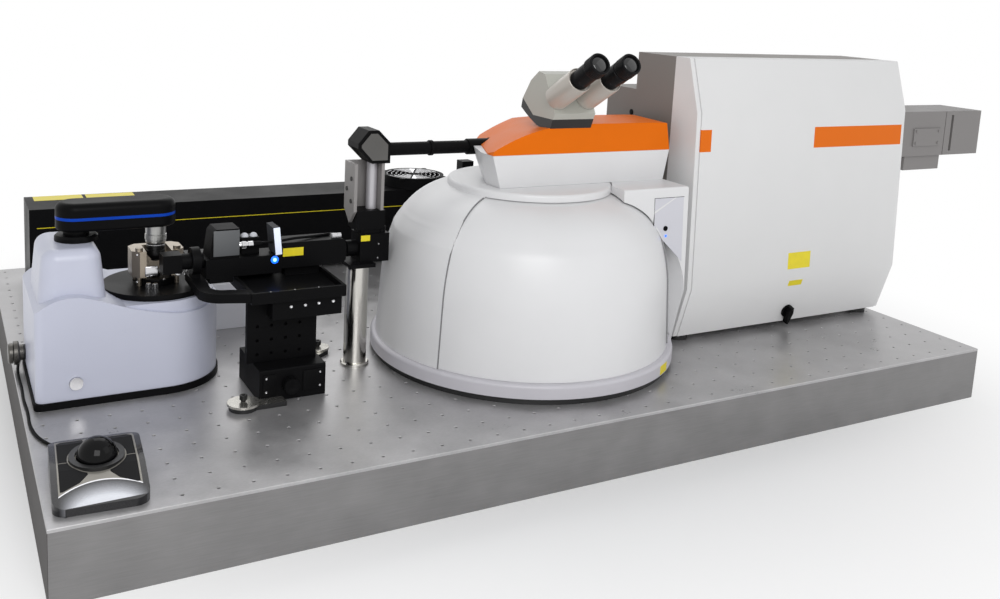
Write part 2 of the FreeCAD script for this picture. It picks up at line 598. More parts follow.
def build_stage():
    left, right = d.stage_left, d.stage_left + d.stage_width
    front, back = d.stage_front, d.stage_front + d.stage_depth
    base = padded("stage_base_body", "YZ_Plane", [
        (0, 0), (d.stage_depth, 0), (d.stage_depth, d.stage_height - d.stage_bevel),
        (d.stage_depth - d.stage_bevel, d.stage_height), (d.stage_bevel, d.stage_height),
        (0, d.stage_height - d.stage_bevel)],
        d.stage_width, left, front, top)
    ram_x, ram_y = left + d.stage_width / 2, front + d.plate_setback + 30
    holes = [rod("ram_bore", d.ram_radius + d.ram_fit, ram_x, ram_y,
                 top + d.stage_height - d.ram_depth - 6, d.ram_depth + 7),
             rod("knob_bore", d.shaft_radius + d.shaft_fit, d.jack_knob_x, front - 1,
                 top + d.jack_knob_z, d.shaft_depth + 2, "y")]
    node(cut("stage_base_cut", base, holes), "stage_base")
    knob = turned("stage_knob_body", [
        (0, 0), (d.jack_knob_radius - 2, 0), (d.jack_knob_radius, 2),
        (d.jack_knob_radius, d.jack_knob_width - 1), (d.jack_knob_radius - 1,
                                                      d.jack_knob_width),
        (d.shaft_radius, d.jack_knob_width),
        (d.shaft_radius, d.jack_knob_width + d.shaft_depth),
        (0, d.jack_knob_width + d.shaft_depth)],
        d.jack_knob_x, front - d.jack_knob_width - 0.5, top + d.jack_knob_z, "y")
    node(knob, "stage_knob")
    plate_front = front + d.plate_setback
    plate_back = plate_front + d.plate_thickness
    lift_bottom = top + d.stage_height + d.seat_gap
    plate = slab("lift_sheet", (d.plate_left, d.plate_left + d.plate_width),
                 (plate_front, plate_back), (lift_bottom, top + d.tray_top
                                             - d.tray_thickness))
    shoe = slab("lift_shoe", (ram_x - 18, ram_x + 18), (plate_back, ram_y + 18),
                (lift_bottom, lift_bottom + 16))
    gusset = padded("lift_gusset", "YZ_Plane", [
        (0, 0), (40, 0), (0, 40)], 8, ram_x - 4, plate_back, lift_bottom + 16)
    ram = rod("lift_ram", d.ram_radius, ram_x, ram_y, lift_bottom - d.ram_depth,
              d.ram_depth + 1)
    blank = fuse("lift_blank", [plate, shoe, gusset, ram])
    taps = []
    for i in range(4):
        for j in range(3):
            taps.append(rod(f"plate_tap_{i}_{j}", d.plate_hole_radius,
                            d.plate_left + 18 + d.plate_hole_pitch * i, plate_front - 1,
                            lift_bottom + 14 + d.plate_hole_pitch * j, 7, "y"))
    node(cut("lift_plate_cut", blank, taps), "stage_lift_plate")
    build_tray(plate_front)
    build_reach_arm()
    build_clamps(left, right, front, back)


def build_tray(plate_front):
    left, right = d.tray_left, d.tray_left + d.tray_width
    front, back = d.tray_front, d.tray_front + d.tray_depth
    high = top + d.tray_top
    block = slab("tray_block", (left, right), (front, back), (high - d.tray_thickness, high))
    pocket = slab("tray_pocket_tool", (left + d.tray_rim, right - d.tray_rim),
                  (front + d.tray_rim, back - d.tray_rim), (high - d.tray_pocket, high + 1))
    dish = cut("tray_dish", block, [pocket])
    bracket = slab("tray_bracket", (d.bracket_left, right - 4),
                   (plate_front - d.bracket_depth, plate_front),
                   (high - d.tray_thickness - d.bracket_height, high - d.tray_thickness))
    riser_low, riser_high = high - d.tray_pocket, top + d.beam_box_bottom
    riser = slab("tray_riser", (d.beam_box_left + 10, right - d.tray_rim - 2),
                 (d.line_y - 12, d.line_y + 12), (riser_low, riser_high))
    node(fuse("tray_body", [dish, bracket, riser]), "stage_tray")


def build_reach_arm():
    """Flat arm that bends round the force microscope and carries the side objective."""
    low, high = float(top + d.reach_bottom), float(top + d.tray_top)
    start, front = float(d.tray_left), float(d.tray_front) + 2
    width, out, end = float(d.reach_width), float(d.reach_x), float(d.reach_end_y)
    turn = float(d.reach_turn_x)
    corner = 36
    inner = corner - 14
    diagonal = math.sqrt(0.5)
    outline = [(start, front), (start, front + width),
               (turn + inner - 4, front + width + 10,
                turn - 4 + inner * (1 - diagonal), front + width + 10
                + inner * (1 - diagonal)),
               (turn - 4, front + width + 10 + inner),
               (out + width, end), (out, end), (out - 4, front + corner + 18,
                                                out - 4 + corner * (1 - diagonal) - 2,
                                                front + 18 + corner * (1 - diagonal)),
               (out + corner - 4, front + 12)]
    arm = prism(outline, low, high)
    ring_x = float(d.side_ring_left)
    seat = Part.makeBox(float(d.side_ring_width), 24,
                        float(d.line_height - d.tray_top) - 20,
                        vec(ring_x, float(d.line_y) - 12, high))
    ring = Part.makeCylinder(float(d.side_ring_radius), float(d.side_ring_width),
                             vec(ring_x, d.line_y, top + d.line_height), vec(1, 0, 0))
    eye = Part.makeCylinder(float(d.side_tube_radius + d.ram_fit),
                            float(d.side_ring_width) + 2,
                            vec(ring_x - 1, d.line_y, top + d.line_height), vec(1, 0, 0))
    node(coded("reach_arm_shape", arm.fuse([seat, ring]).cut(eye)), "stage_arm")


def build_clamps(left, right, front, back):
    """Two table clamps: a black fork, a steel washer and a cap screw each."""
    thick, washer, screw_head = 8, 4, 8
    gap = 0.3
    first = (float(left) - 30, float(front) - 10)
    second = (float(right) + 54, float(back) + 66)
    low = float(top)
    forks = [prism([(first[0], float(front) - 26), (float(left) + 40, float(front) - 26),
                    (float(left) + 40, float(front) - gap),
                    (float(left) - gap, float(front) - gap),
                    (float(left) - gap, float(front) + 6), (first[0], float(front) + 6)],
                   low, low + thick),
             prism([(float(right) - 30, float(back) + gap), (float(right), float(back)
                                                             + gap),
                    (second[0] + 16, second[1] - 16), (second[0] - 14, second[1] + 16)],
                   low, low + thick)]
    shapes = []
    for fork, (x, y), radius in zip(forks, (first, second), (27, 22)):
        body = fork.fuse(Part.makeCylinder(radius - 3, thick, vec(x, y, low)))
        shapes.append(body.removeSplitter())
        shapes.append(Part.makeCylinder(radius, washer, vec(x, y, low + thick)))
        shank = Part.makeCylinder(4, 6, vec(x, y, low + thick + washer))
        head = Part.makeCylinder(6.5, screw_head, vec(x, y, low + thick + washer + 4))
        socket = Part.makeCylinder(3, 5, vec(x, y, low + thick + washer + 4 + 4))
        shapes.append(shank.fuse(head).removeSplitter().cut(socket))
    node(coded("clamp_shapes", Part.makeCompound(shapes)), "stage_clamps")


def build_side_objective():
    """Fold box with its objective, tube and flange on the optical line."""
    y, z = d.line_y, top + d.line_height
    half = d.fold_box / 2
    box = slab("fold_block", (d.fold_box_left, d.fold_box_left + d.fold_box),
               (y - half, y + half), (z - half, z + half))
    tube_left = d.fold_box_left + d.fold_box
    tube_right = d.coupler_left
    tube = rod("side_tube", d.side_tube_radius, tube_left, y, z, tube_right - tube_left, "x")
    nose = cone("side_nose", 10, 6, d.fold_box_left + d.fold_box / 2, y + half, z - 4, 12,
                "y")
    node(fuse("side_objective_body", [box, tube, nose]), "side_objective")


def build_coupler():
    front, back = d.coupler_front, d.coupler_front + d.coupler_depth
    low, high = top + d.coupler_bottom, top + d.coupler_top
    main = slab("coupler_main", (d.coupler_left, d.coupler_right), (front, back),
                (low, high))
    drop = slab("coupler_drop_block", (d.coupler_left + 6, d.tray_left - 2),
                (front, back), (low - d.coupler_drop, low + 1))
    node(fuse("coupler_body", [main, drop]), "coupling_body")
    cam_left, cam_right = d.camera_left, d.camera_left + d.camera_width
    camera = padded("camera_case", "XZ_Plane", [
        (-6, 0), (d.camera_width, 0), (d.camera_width, d.camera_height),
        (6, d.camera_height), (0, d.camera_height - 8)],
        d.coupler_depth - 4, cam_left, front + 2, high)
    block = slab("plug_block", (d.plug_block_left, d.plug_block_left + d.plug_block_width),
                 (front + 18, back - 4), (high, high + d.plug_block_height))
    knobs = [turned(f"knob_dome_{i}", [
        (0, 0), (d.dome_radius, 0, d.dome_radius, 1), (0, d.dome_radius)],
        d.plug_block_left + offset, front + 28, high + d.plug_block_height)
        for i, offset in enumerate((8, 24))]
    socket = rod("camera_socket", 5, cam_right, front + 10, high + 20, 30, "x")
    board = slab("filter_board", (0, d.board_thickness), (0, d.board_depth),
                 (0, d.board_height))
    lean = FreeCAD.Rotation(FreeCAD.Vector(0, 1, 0), -float(d.board_lean))
    place(board, d.board_left, front - 10, high + 1.4, lean)
    foot = slab("board_foot", (d.board_left + 2, d.board_left + d.board_thickness),
                (front, front + 30), (high, high + 1))
    lead = lead_path(cam_right + 30, front + 10, high + 20)
    parts = [fuse("camera_fused", [camera, block] + knobs), socket,
             fuse("board_fused", [board, foot]), lead]
    node(group("camera_parts", parts), "coupling_camera")


def lead_path(x, y, z):
    """Short camera lead from its connector, over the board's foot, to the beam box."""
    start = vec(x, y, z)
    box_top = float(top + d.beam_box_top) + float(d.lead_radius)
    points = [start, start + vec(12, 0, 1), vec(float(d.beam_box_left) - 8,
                                                float(y) - 16, float(z) + 6),
              vec(float(d.beam_box_left) + 24, float(y) - 4, box_top + 4),
              vec(float(d.beam_box_left) + 60, float(y) + 12, box_top),
              vec(float(d.beam_box_right) - 22, float(y) + 22, box_top)]
    return coded("camera_lead", routed_tube(points, float(d.lead_radius)))


def routed_tube(points, radius):
    """Tube of straight runs joined by tangent arcs as large as the runs allow."""
    edges, start = [], points[0]
    for before, point, after in zip(points, points[1:], points[2:]):
        back_way, on_way = (before - point), (after - point)
        shorter = min(back_way.Length, on_way.Length)
        back_way.normalize()
        on_way.normalize()
        half_turn = (math.pi - back_way.getAngle(on_way)) / 2
        reach = 0.45 * shorter
        bend = reach / math.tan(half_turn)
        first, last = point + back_way * reach, point + on_way * reach
        middle = (back_way + on_way).normalize()
        centre = point + middle * (bend / math.cos(half_turn))
        edges.append(Part.LineSegment(start, first).toShape())
        edges.append(Part.Arc(first, centre - middle * bend, last).toShape())
        print("bend radius", round(bend, 1), "mm")
        start = last
    edges.append(Part.LineSegment(start, points[-1]).toShape())
    path = Part.Wire(edges)
    ring = Part.Wire(Part.Circle(points[0], points[1] - points[0], radius).toShape())
    tube = path.makePipeShell([ring], True, False)
    expected = math.pi * radius ** 2 * path.Length
    print("tube volume against section times length", round(tube.Volume / expected, 4))
    return tube


def build_beam_box():
    low, high = top + d.beam_box_bottom, top + d.beam_box_top
    c = d.beam_box_chamfer
    half = d.beam_box_depth / 2
    length = d.beam_box_right - d.beam_box_left
    box = padded("beam_box_body", "XZ_Plane", [
        (0, 0), (length - c, 0), (length, c), (length, high - low - c),
        (length - c, high - low), (0, high - low)],
        d.beam_box_depth, d.beam_box_left, d.line_y - half, low)
    node(box, "beam_box")


def build_periscope():
    post = turned("post_body", [
        (0, 0), (d.flange_radius, 0), (d.flange_radius, d.flange_height - 2),
        (d.flange_radius - 2, d.flange_height), (d.post_radius, d.flange_height),
        (d.post_radius, d.post_height), (0, d.post_height)], d.post_x, d.post_y, top)
    node(post, "periscope_post")
    plate_low = top + d.post_height
    cube_low = plate_low + d.foot_plate_thickness
    cube_high = cube_low + d.cube_height
    front, back = d.line_y - d.cube_depth / 2, d.line_y + d.cube_depth / 2
    cube_right = d.cube_left + d.cube_width
    block_high = cube_high + d.collar_block_height
    line = top + d.line_height
    parts = [slab("foot_plate", (d.foot_plate_left, d.foot_plate_left + d.foot_plate_width),
                  (d.foot_plate_front, back), (plate_low, cube_low + 1)),
             slab("cube_block", (d.cube_left, cube_right), (front, back),
                  (cube_low, cube_high)),
             slab("neck_block", (d.collar_block_left + 12, d.collar_block_left
                                 + d.collar_block_width - 8), (front + 4, back - 4),
                  (cube_high, cube_high + d.neck_height)),
             slab("collar_block", (d.collar_block_left, d.collar_block_left
                                   + d.collar_block_width), (front, back - 4),
                  (cube_high + d.neck_height, block_high)),
             rod("joint_tube", d.joint_tube_radius, d.cube_left - d.joint_tube_length,
                 d.line_y, line, d.joint_tube_length, "x"),
             rod("clamp_stud", 7, cube_right - 12, front + 10, cube_high, 12)]
    node(fuse("cube_parts", parts), "periscope_cube")
    build_column(block_high, front)
    build_mirror_head()
    build_beam_tube()


def build_column(seat, front):
    """Channel with a pointed side plate and the riser tube standing inside it."""
    left, right = d.column_left, d.column_left + d.column_width
    back = front + d.column_depth
    high = top + d.column_top
    w = d.column_wall
    side = padded("side_plate", "YZ_Plane", [
        (0, d.column_point), (d.column_depth, d.column_point), (d.column_depth,
                                                                high - seat + 24),
        (0, high - seat + 24)], w, left - 2, front - 2, seat - 24)
    point = padded("side_point", "YZ_Plane", [
        (0, d.column_point), (d.column_depth * 0.45, 0), (d.column_depth, d.column_point)],
        w, left - 2, front - 2, seat - 24)
    rear = slab("rear_plate", (left, right), (back - w, back), (seat, high))
    wing = slab("wing_plate", (right - w, right), (front, back), (seat, high))
    screws = [rod(f"plate_screw_{i}", 4, left - 4, front + offset, seat + height, 4, "x")
              for i, (offset, height) in enumerate([(12, 60), (34, 38), (12, 18)])]
    channel = fuse("channel", [side, point, rear, wing] + screws)
    tube = rod("riser_tube", d.riser_tube_radius, d.riser_tube_x, d.line_y, seat,
               high - seat)
    node(group("column_parts", [channel, tube]), "periscope_column")


def build_mirror_head():
    """Mirror housing: a block with cut corners and a thin front plate."""
    w, h, c = d.mirror_width, d.mirror_height, d.mirror_cut
    outline = [(c + 4, 0), (w, 0), (w, h - c), (w - c, h), (c - 4, h), (0, h - c), (0, c + 4)]
    head = padded("mirror_block", "XZ_Plane", outline, d.mirror_depth,
                  d.mirror_x - w / 2, d.line_y - d.mirror_depth / 2,
                  top + d.mirror_centre - h / 2 - 2)
    m = 6
    plate = padded("mirror_plate_body", "XZ_Plane", [
        (c + 4, m), (w - m, m), (w - m, h - c - 3), (w - c - 3, h - m), (c, h - m),
        (m, h - c - 3), (m, c + 6)], d.mirror_plate + 1, d.mirror_x - w / 2,
        d.line_y - d.mirror_depth / 2 - d.mirror_plate, top + d.mirror_centre - h / 2 - 2)
    node(fuse("mirror_head_parts", [head, plate]), "periscope_head")


def build_beam_tube():
    y, z = d.line_y, top + d.beam_height
    left = d.mirror_x + d.mirror_width / 2
    length = d.beam_end - left
    ring_at = d.beam_ring_x - left
    outer, bore = d.beam_radius, d.beam_bore
    tube = turned("beam_tube_body", [
        (bore, 0), (outer + 4, 0), (outer + 4, 4), (outer, 4), (outer, ring_at),
        (d.beam_ring_radius, ring_at), (d.beam_ring_radius, ring_at + d.beam_ring_width),
        (outer, ring_at + d.beam_ring_width), (outer, length), (bore, length)],
        left, y, z, "x")
    node(tube, "beam_tube")
    inner = outer + d.sleeve_fit
    sleeve = turned("beam_sleeve_body", [
        (inner, 0), (d.sleeve_radius, 0), (d.sleeve_radius, d.sleeve_right - d.sleeve_left),
        (inner, d.sleeve_right - d.sleeve_left)], d.sleeve_left, y, z, "x")
    node(sleeve, "beam_sleeve")


def build_controller():
    right = d.controller_left + d.controller_width
    back = d.controller_front + d.controller_depth
    high = top + d.controller_height
    case = slab("controller_case", (d.controller_left, right), (d.controller_front, back),
                (top, high))
    unit = slab("controller_unit", (d.controller_left + d.unit_inset,
                                    right - d.unit_inset),
                (d.controller_front + d.unit_inset, back - d.unit_inset),
                (high, high + d.unit_height))
    node(group("controller_parts", [case, unit]), "controller_stack")


def dome_points(offset):
    """Outer line of the dome, from the rim to the cap, moved out by an offset."""
    line = [(d.dome_bottom_radius, d.rim_height + 0.3), (d.dome_waist_radius, d.dome_waist),
            (d.dome_shoulder_radius, d.dome_shoulder), (d.dome_brow_radius, d.dome_brow),
            (d.dome_top_radius, d.dome_top)]
    flat = [FreeCAD.Vector(float(r), 0, float(z)) for r, z in line]
    moved = []
    for i, point in enumerate(flat):
        before = flat[max(i - 1, 0)]
        after = flat[min(i + 1, len(flat) - 1)]
        along = after - before
        normal = FreeCAD.Vector(along.z, 0, -along.x).normalize()
        if i == 0:
            normal = FreeCAD.Vector(1, 0, 0)
        moved.append(point + normal * offset)
    return moved


def dome_line(offset):
    """The dome's line as edges: a straight skirt, a round shoulder and a long crown arc."""
    a, b, c, e, f = dome_points(offset)
    waist = (b + c) * 0.5 + FreeCAD.Vector(3.4, 0, 1)
    shoulder = (c + e) * 0.5 + FreeCAD.Vector(6, 0, 5)
    crown = (e + f) * 0.5 + FreeCAD.Vector(6, 0, 9)
    return [Part.LineSegment(a, b).toShape(), Part.Arc(b, waist, c).toShape(),
            Part.Arc(c, shoulder, e).toShape(), Part.Arc(e, crown, f).toShape()]


def dome_wall(inner, outer, start, span):
    """Wall of revolution between two offsets of the dome's line, over part of a turn."""
    inside, outside = dome_line(inner), dome_line(outer)
    a, b = dome_points(inner), dome_points(outer)
    ends = [Part.LineSegment(a[0], b[0]).toShape(), Part.LineSegment(a[-1], b[-1]).toShape()]
    face = Part.Face(Part.Wire(Part.__sortEdges__(inside + outside + ends)))
    wall = face.revolve(vec(0, 0, 0), vec(0, 0, 1), float(span))
    wall.rotate(vec(0, 0, 0), vec(0, 0, 1), float(start))
    wall.translate(vec(d.dome_x, d.dome_y, top))
    return wall


def dome_core(offset, high):
    """Solid of revolution under the dome's line, carried up to a height."""
    line = dome_line(offset)
    points = dome_points(offset)
    last, first = points[-1], points[0]
    corners = [last, vec(last.x, 0, high), vec(0, 0, high), vec(0, 0, first.z), first]
    sides = [Part.LineSegment(a, b).toShape() for a, b in zip(corners, corners[1:])]
    face = Part.Face(Part.Wire(Part.__sortEdges__(line + sides)))
    core = face.revolve(vec(0, 0, 0), vec(0, 0, 1), 360)
    core.translate(vec(d.dome_x, d.dome_y, top))
    return core


def fairing_block():
    """Block right of the dome with a leaning front and soft upper edges."""
    base, height = float(top), float(d.cap_top)
    left, right = float(d.fairing_left), float(d.fairing_right)
    side = [vec(left, d.fairing_sill, base), vec(left, d.fairing_brow, base + height),
            vec(left, d.fairing_back, base + height), vec(left, d.fairing_back, base)]
    block = Part.Face(Part.makePolygon(side + side[:1])).extrude(vec(right - left, 0, 0))
    soft = [edge for edge in block.Edges
            if at_height(edge, base + height) and edge.BoundBox.XMax > right - 1
            and edge.BoundBox.YMin < float(d.fairing_back) - 1]
    return block.makeFillet(float(d.fairing_edge), soft)


def mouth_outline(y, top_x, shoulder_x, side_x, low_x):
    """One end of the mouth: a round shoulder and a side that runs down to the table."""
    base, left = float(top), float(d.mouth_left)
    start = vec(top_x, y, base + float(d.mouth_top))
    shoulder = vec(shoulder_x, y, base + float(d.mouth_shoulder))
    side = vec(side_x, y, base + float(d.mouth_side))
    corners = [side, vec(low_x, y, base - 1), vec(left, y, base - 1),
               vec(left, y, start.z), start]
    lines = [Part.LineSegment(a, b).toShape() for a, b in zip(corners, corners[1:])]
    return Part.Wire([Part.Arc(start, shoulder, side).toShape()] + lines)


def fairing_mouth():
    """Funnel in the fairing's front through which the door's edge runs."""
    front = mouth_outline(float(d.fairing_sill) - 1, float(d.mouth_top_x),
                          float(d.mouth_shoulder_x), float(d.mouth_side_x),
                          float(d.mouth_low_x))
    throat = mouth_outline(float(d.throat_y), float(d.throat_top_x),
                           float(d.throat_shoulder_x), float(d.throat_side_x),
                           float(d.throat_low_x))
    return Part.makeLoft([front, throat], True, True)


def build_enclosure():
    x, y = d.dome_x, d.dome_y
    rim = turned("rim_body", [
        (d.rim_inner, 0), (d.foot_radius, 0), (d.foot_radius, d.foot_height),
        (d.rim_radius, d.foot_height), (d.rim_radius, d.rim_height - d.rim_round,
                                        d.rim_round, 1),
        (d.rim_radius - d.rim_round, d.rim_height), (d.rim_inner, d.rim_height)], x, y, top)
    node(rim, "enclosure_base")
    wall, gap = float(d.dome_wall), float(d.dome_gap)
    door = dome_wall(-wall, 0, d.door_start, d.door_span)
    node(coded("door_shape", door), "enclosure_door")
    shell = dome_wall(gap, gap + wall, float(d.door_start) - float(d.shell_span),
                      d.shell_span)
    cap_disc = Part.makeCylinder(float(d.cap_radius), float(d.cap_top - d.cap_bottom),
                                 vec(x, y, top + d.cap_bottom))
    crown = [edge for edge in cap_disc.Edges if at_height(edge, top + d.cap_top)]
    cap_disc = cap_disc.makeFillet(float(d.cap_round), crown)
    node(coded("shell_shape", cap_disc.fuse(shell).removeSplitter()), "enclosure_shell")
    fairing = fairing_block()
    fall = (d.fairing_brow - d.fairing_sill) / d.cap_top
    panel_y = d.fairing_sill + fall * d.panel_button_z
    fairing = fairing.cut([fairing_mouth(),dome_core(gap + wall + float(d.seat_gap), float(d.cap_top) + 5),
                           Part.makeCylinder(float(d.rim_radius) + float(d.seat_gap),
                                             float(d.rim_height) + 0.4,
                                             vec(x, y, top)),
                           Part.makeCylinder(float(d.cap_radius) + float(d.seat_gap), 40,
                                             vec(x, y, float(top + d.cap_top) - 39)),
                           Part.makeCylinder(float(d.panel_button_radius) + 0.3,
                                             float(d.panel_button_depth) + 3,
                                             vec(d.panel_button_x, panel_y - 3,
                                                 top + d.panel_button_z), vec(0, 1, 0))])
    fairing = Part.makeCompound([max(fairing.Solids, key=lambda piece: piece.Volume)])
    node(coded("fairing_shape", fairing.Solids[0]), "enclosure_fairing")
    node(rod("panel_button_body", d.panel_button_radius, d.panel_button_x,
             panel_y - d.panel_button_proud, top + d.panel_button_z,
             d.panel_button_depth - 2, "y"), "panel_button")


def build_microscope():
    x, y = d.dome_x, d.dome_y
    half = d.stand_width / 2
    column_front = d.stand_back - d.stand_depth
    ceiling = top + d.cap_bottom
    foot = slab("stand_foot", (x - half - 20, x + half + 20),
                (d.stand_back - d.stand_foot_reach, d.stand_back), (top, top
                                                                    + d.stand_foot_height))
    reach = y - 36 - d.stand_back
    limb = padded("stand_limb", "YZ_Plane", [
        (0, 0), (0, d.stand_shoulder), (-d.stand_slope, d.cap_bottom),
        (reach, d.cap_bottom), (reach, d.cap_bottom - d.nose_arm_height),
        (-d.stand_depth, d.cap_bottom - d.nose_arm_height), (-d.stand_depth, 0)],
        d.stand_width, x - half, d.stand_back, top)
    rail = slab("stand_rail", (x - 12, x + 12), (column_front - 8, column_front),
                (top + 100, top + 220))
    node(fuse("stand_parts", [foot, limb, rail]), "microscope_stand")
    turret_top = ceiling - d.nose_arm_height - d.seat_gap
    turret = turned("turret_disc", [
        (0, -d.turret_height), (d.turret_radius - 10, -d.turret_height),
        (d.turret_radius, -d.turret_height + 10), (d.turret_radius, -4),
        (d.turret_radius - 4, 0), (0, 0)], x, y, turret_top)
    barrels = []
    for i, (dx, dy) in enumerate([(18, 0), (0, 18), (-18, 0), (0, -18)]):
        shorter = 8 * (i % 2)
        barrels.append(cone(f"barrel_{i}", 6, d.inner_objective_radius, x + dx, y + dy,
                            turret_top - d.turret_height - d.inner_objective_length
                            + shorter, d.inner_objective_length - shorter + 1))
    node(fuse("turret_parts", [turret] + barrels), "microscope_turret")
    stage_low = top + d.sample_stage_height
    table = slab("stage_table", (x - d.sample_stage_width / 2, x + d.sample_stage_width / 2),
                 (y - d.sample_stage_depth / 2, y + d.sample_stage_depth / 2),
                 (stage_low, stage_low + d.sample_stage_thickness))
    slide_back = column_front - d.seat_gap
    saddle = slab("stage_saddle", (x - 30, x + 30), (y + d.sample_stage_depth / 2 - 20,
                                                     slide_back),
                  (stage_low - d.sample_stage_lug, stage_low + d.sample_stage_thickness))
    groove = slab("saddle_groove", (x - 12.3, x + 12.3), (column_front - 8.3,
                                                          column_front + 1),
                  (stage_low - d.sample_stage_lug - 1,
                   stage_low + d.sample_stage_thickness + 1))
    blank = fuse("stage_blank", [table, saddle])
    node(cut("stage_grooved", blank, [groove]), "microscope_stage")


def hull_outline(flare, z):
    """Plan of the microscope head at one height: a bow to the left and a square right end."""
    part = flare / float(d.hull_nose_flare)
    front = float(d.hull_front) - float(d.hull_flare) * part
    back = float(d.hull_back) + float(d.hull_flare) * part
    nose = float(d.hull_nose) - flare
    right = float(d.hull_right) + 2 * part
    middle = float(d.line_y)
    points = [(nose, front), (right, front), (right, back), (nose + 178, back),
              (nose + 92 - 10 * part, back - 30), (nose + 30 - 2 * part, middle),
              (nose + 4 * part - 4, front + 46)]
    return Part.makePolygon([vec(px, py, z) for px, py in points + points[:1]])


def build_head():
    low, seam = float(top + d.cap_top), float(top + d.hull_top)
    crest = float(top + d.cover_crest)
    flare = float(d.hull_nose_flare)
    hull = Part.makeLoft([hull_outline(0, low), hull_outline(flare, seam)], True, True)
    port = Part.makeCylinder(float(d.sleeve_radius + d.sleeve_port_gap),
                             float(d.sleeve_right - d.sleeve_left) + 40,
                             vec(d.sleeve_left, d.line_y, top + d.beam_height),
                             vec(1, 0, 0))
    node(coded("hull_shape", hull.cut(port)), "head_hull")
    lift = crest + 12
    ends = float(d.cover_front_lip) / float(d.hull_flare)
    walls = Part.makeLoft([hull_outline(flare, seam),
                           hull_outline(flare * (1 - ends * (lift - seam)
                                                 / (crest - seam) * 0.8), lift)], True, True)
    nose = float(d.hull_nose) - flare
    right = float(d.hull_right) + 4
    reach = right + 100
    start = vec(nose - 4, 0, seam + float(d.cover_nose_height))
    climb = vec(nose + 79, 0, seam + float(d.cover_climb))
    brow = vec(nose + 189, 0, crest - 2)
    ridge = Part.Arc(brow, vec((brow.x + right) / 2, 0, crest + 1), vec(right, 0, crest - 3))
    slope = Part.Arc(start, climb, brow)
    low_line = [vec(right, 0, crest - 3), vec(reach, 0, crest - 6), vec(reach, 0, seam - 1),
                vec(nose - 4, 0, seam - 1), start]
    sides = [Part.LineSegment(a, b).toShape() for a, b in zip(low_line, low_line[1:])]
    lengthwise = Part.Face(Part.Wire([slope.toShape(), ridge.toShape()] + sides))
    lengthwise.translate(vec(0, float(d.hull_front), 0))
    rake = float(d.cover_rake)
    lengthwise.translate(vec(-60 * rake, -60, 0))
    lengthwise = lengthwise.extrude(vec(400 * rake, 400, 0))
    radius = float(d.cover_camber_radius)
    camber = Part.makeCylinder(radius, right - nose + 40,
                               vec(nose - 20, d.cover_camber_y, crest + 1.5 - radius),
                               vec(1, 0, 0))
    cover = walls.common(lengthwise).common(camber).cut(port)
    node(coded("cover_shape", cover), "head_cover")
    build_binocular(cover)


def build_binocular(cover):
    """Binocular body seated on the cover, with two sliding eyepiece tubes."""
    left, right = float(d.binocular_left), float(d.binocular_left + d.binocular_width)
    y0, z0 = float(d.tube_start_y), float(top + d.tube_start_z)
    angle = math.radians(float(d.tube_angle))
    up, out = vec(0, math.sin(angle), math.cos(angle)), vec(0, -math.cos(angle),
                                                            math.sin(angle))
    start = vec(left, y0, z0)
    face_low, face_high = start - up * 32, start + up * 50
    base = float(top)
    profile = [face_low, face_high, vec(left, face_high.y + 22, face_high.z + 4),
               vec(left, -255, base + 540), vec(left, -228, base + 502),
               vec(left, -224, base + 484), vec(left, -255, base + 468),
               vec(left, -285, base + 456), vec(left, -326, base + 450),
               vec(left, -334, base + 456)]
    face = Part.Face(Part.makePolygon(profile + profile[:1]))
    body = face.extrude(vec(right - left, 0, 0)).cut(cover)
    body = max(body.Solids, key=lambda piece: piece.Volume)
    node(coded("binocular_shape", body), "binocular_body")
    centre = (left + right) / 2
    gap = float(d.seat_gap)
    for name, side in (("left_eyepiece", -1), ("right_eyepiece", 1)):
        foot = vec(centre + side * float(d.tube_pitch) / 2, y0, z0) + out * gap
        housing = Part.makeCylinder(float(d.tube_radius), float(d.tube_length), foot, out)
        mouth = foot + out * float(d.tube_length)
        barrel = Part.makeCylinder(float(d.eyepiece_radius), float(d.eyepiece_length),
                                   mouth, out)
        cup_at = mouth + out * float(d.eyepiece_length)
        cup = Part.makeCylinder(float(d.eyecup_radius), float(d.eyecup_length), cup_at, out)
        hollow = Part.makeCylinder(float(d.eyecup_radius) - 4, float(d.eyecup_hollow),
                                   cup_at + out * float(d.eyecup_length
                                                        - d.eyecup_hollow), out)
        tube = housing.fuse([barrel, cup]).removeSplitter().cut(hollow)
        node(coded(name + "_shape", tube), name)


def side_profile(inset, proud=0):
    """Side view of the spectrometer's tall box, drawn in from its outline by an inset."""
    i, p = inset, proud
    return [(float(d.front_top_y) - p + i, float(d.front_top_z) - i),
            (float(d.front_brow_y) - p + i, float(d.front_brow_z)),
            (float(d.front_sill_y) - p + i, float(d.front_sill_z)),
            (float(d.front_bottom_y) - p + i, float(d.front_bottom_z) + i)]


def side_solid(profile, back, low, high, x0, x1):
    base = float(top)
    corners = [vec(x0, y, base + z) for y, z in profile]
    corners += [vec(x0, back, base + low), vec(x0, back, base + high)]
    face = Part.Face(Part.makePolygon(corners + corners[:1]))
    return face.extrude(vec(x1 - x0, 0, 0))


